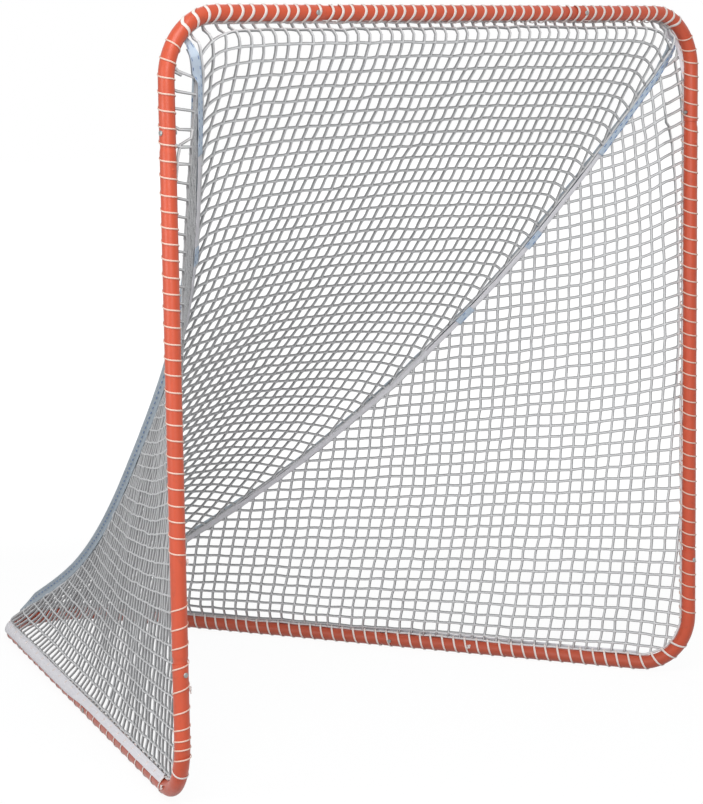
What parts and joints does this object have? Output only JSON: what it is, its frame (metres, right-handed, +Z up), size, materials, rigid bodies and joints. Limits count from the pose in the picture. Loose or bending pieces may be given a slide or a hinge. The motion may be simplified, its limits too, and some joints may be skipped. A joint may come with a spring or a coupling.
{
  "type": "lacrosse goal",
  "caption": "Full-size field goal for lacrosse: a bolted frame of round tube, triangular in plan, with a laced net sloping from the top bar to a rounded rear bend.",
  "frame": {"origin": "on the ground, under the middle of the whole goal", "axes": "+Z up; the mouth faces -Y and the ground rails run back to the rear bend at +Y; +X is the right post's side, seen from in front"},
  "size_m": [1.878, 1.8974, 1.8741],
  "materials": {
    "frame_tube": "orange powder coat, semi-gloss",
    "fastener": "zinc plated",
    "net": "white-grey braided polyester twine",
    "webbing": "woven polyester tape",
    "lacing": "braided lacing cord"
  },
  "bodies": {
    "root": {"top_corner_left": "frame_tube", "bottom_elbow_left": "frame_tube", "post_left": "frame_tube", "ground_rail_left": "frame_tube", "top_corner_right": "frame_tube", "bottom_elbow_right": "frame_tube", "post_right": "frame_tube", "ground_rail_right": "frame_tube", "top_bar": "frame_tube", "rear_bend": "frame_tube", "bolt_top_bar_left": "fastener", "nut_top_bar_left": "fastener", "bolt_top_bar_right": "fastener", "nut_top_bar_right": "fastener", "bolt_post_top_left": "fastener", "nut_post_top_left": "fastener", "bolt_post_top_right": "fastener", "nut_post_top_right": "fastener", "bolt_post_foot_left": "fastener", "nut_post_foot_left": "fastener", "bolt_post_foot_right": "fastener", "nut_post_foot_right": "fastener", "bolt_rail_front_left": "fastener", "nut_rail_front_left": "fastener", "bolt_rail_front_right": "fastener", "nut_rail_front_right": "fastener", "bolt_rail_rear_left": "fastener", "nut_rail_rear_left": "fastener", "bolt_rail_rear_right": "fastener", "nut_rail_rear_right": "fastener", "roof_net": "net", "side_net_left": "net", "side_net_right": "net", "seam_tape_left": "webbing", "seam_tape_right": "webbing", "hem_tape_left": "webbing", "hem_tape_right": "webbing", "top_lacing": "lacing", "post_lacing_left_lower": "lacing", "post_lacing_left_upper": "lacing", "post_lacing_right": "lacing", "rail_lacing_left": "lacing", "rail_lacing_right": "lacing"}
  },
  "joints": []
}
